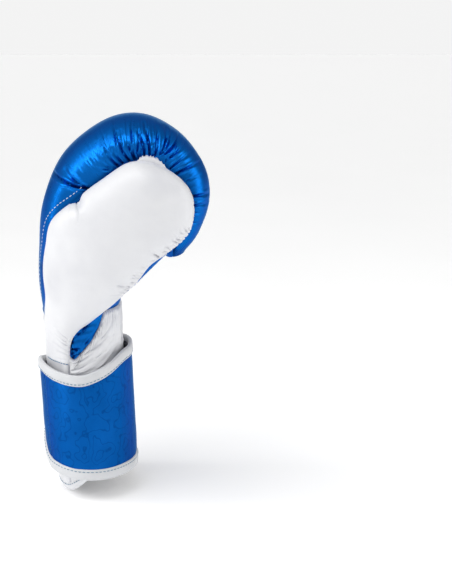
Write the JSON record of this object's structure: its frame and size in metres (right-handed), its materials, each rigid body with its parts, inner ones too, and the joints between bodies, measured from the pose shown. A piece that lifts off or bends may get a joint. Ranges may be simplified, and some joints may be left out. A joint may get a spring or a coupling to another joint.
{
  "type": "padded striking glove",
  "caption": "Left-hand padded striking glove: curled padded mitten, attached thumb, stiff padded cuff and a wrap-round strap with hook-and-loop closure.",
  "frame": {"origin": "centre of the glove's overall length and width, at the level of the cuff's lowest edge", "axes": "+Z from the cuff to the knuckles, +X to the palm side, -Y to the thumb side"},
  "size_m": [0.1425, 0.1599, 0.3149],
  "materials": {
    "blue_leather": "smooth semi-gloss blue",
    "white_leather": "smooth semi-gloss white",
    "strap_leather": "semi-gloss blue with a faint tonal line pattern",
    "foam": "closed-cell foam, hidden",
    "stiffener": "thin foam, hidden",
    "lining": "matt woven lining",
    "loop_tape": "looped pile",
    "hook_tape": "hooked tape"
  },
  "bodies": {
    "cuff": {"cuff_leather_back": "white_leather", "cuff_leather_front": "white_leather", "cuff_foam": "foam", "cuff_lining": "lining", "hem_binding": "white_leather", "slit_gusset": "lining", "loop_patch": "loop_tape", "strap_leather_0": "strap_leather", "strap_core_0": "stiffener", "strap_binding_top_0": "white_leather", "strap_binding_bottom_0": "white_leather"},
    "hand": {"fist_leather": "blue_leather", "wrist_leather": "white_leather", "palm_leather": "blue_leather", "heel_leather": "white_leather", "knuckle_foam_outer": "foam", "knuckle_foam_inner": "foam", "palm_foam": "foam", "hand_lining": "lining", "thumb_sleeve": "lining", "grip_bar": "lining", "thumb_base_leather": "white_leather", "thumb_base_foam": "foam"},
    "thumb": {"thumb_leather_outer": "white_leather", "thumb_leather_inner": "blue_leather", "thumb_foam": "foam", "thumb_lining": "lining", "thumb_tether": "white_leather"},
    "strap_1": {"strap_leather_1": "strap_leather", "strap_core_1": "stiffener", "strap_binding_top_1": "white_leather", "strap_binding_bottom_1": "white_leather"},
    "strap_2": {"strap_leather_2": "strap_leather", "strap_core_2": "stiffener", "strap_binding_top_2": "white_leather", "strap_binding_bottom_2": "white_leather"},
    "strap_3": {"strap_leather_3": "strap_leather", "strap_core_3": "stiffener", "strap_binding_top_3": "white_leather", "strap_binding_bottom_3": "white_leather"},
    "strap_4": {"strap_leather_4": "strap_leather", "strap_core_4": "stiffener", "strap_binding_top_4": "white_leather", "strap_binding_bottom_4": "white_leather", "strap_binding_end": "white_leather", "hook_patch": "hook_tape"}
  },
  "joints": [
    {"name": "wrist_flex", "type": "hinge", "parent": "cuff", "child": "hand", "pos_m": [-0.0319, 0.0147, 0.125], "axis": [0, 1, 0], "range_deg": [-12, 12]},
    {"name": "thumb_flex", "type": "hinge", "parent": "hand", "child": "thumb", "pos_m": [-0.0449, -0.0253, 0.158], "axis": [0.7331, 0, -0.6801], "range_deg": [0, 5]},
    {"name": "strap_peel", "type": "hinge", "parent": "cuff", "child": "strap_1", "pos_m": [0.01065, 0.02545, 0.065], "axis": [-0.0505, 0.0017, 0.9987], "range_deg": [0, 75]},
    {"name": "strap_bend_2", "type": "hinge", "parent": "strap_1", "child": "strap_2", "pos_m": [-0.00386, -0.02606, 0.065], "axis": [-0.0528, -0.0063, 0.9986], "range_deg": [0, 46]},
    {"name": "strap_bend_3", "type": "hinge", "parent": "strap_2", "child": "strap_3", "pos_m": [-0.04086, -0.03449, 0.065], "axis": [-0.0587, -0.0076, 0.9982], "range_deg": [0, 46]},
    {"name": "strap_bend_4", "type": "hinge", "parent": "strap_3", "child": "strap_4", "pos_m": [-0.06609, -0.00299, 0.065], "axis": [-0.0627, -0.0027, 0.998], "range_deg": [0, 46]}
  ],
  "couplings": [
    {"joint": "strap_bend_2", "follows": "strap_peel", "ratio": 0.6},
    {"joint": "strap_bend_3", "follows": "strap_peel", "ratio": 0.6},
    {"joint": "strap_bend_4", "follows": "strap_peel", "ratio": 0.6}
  ]
}
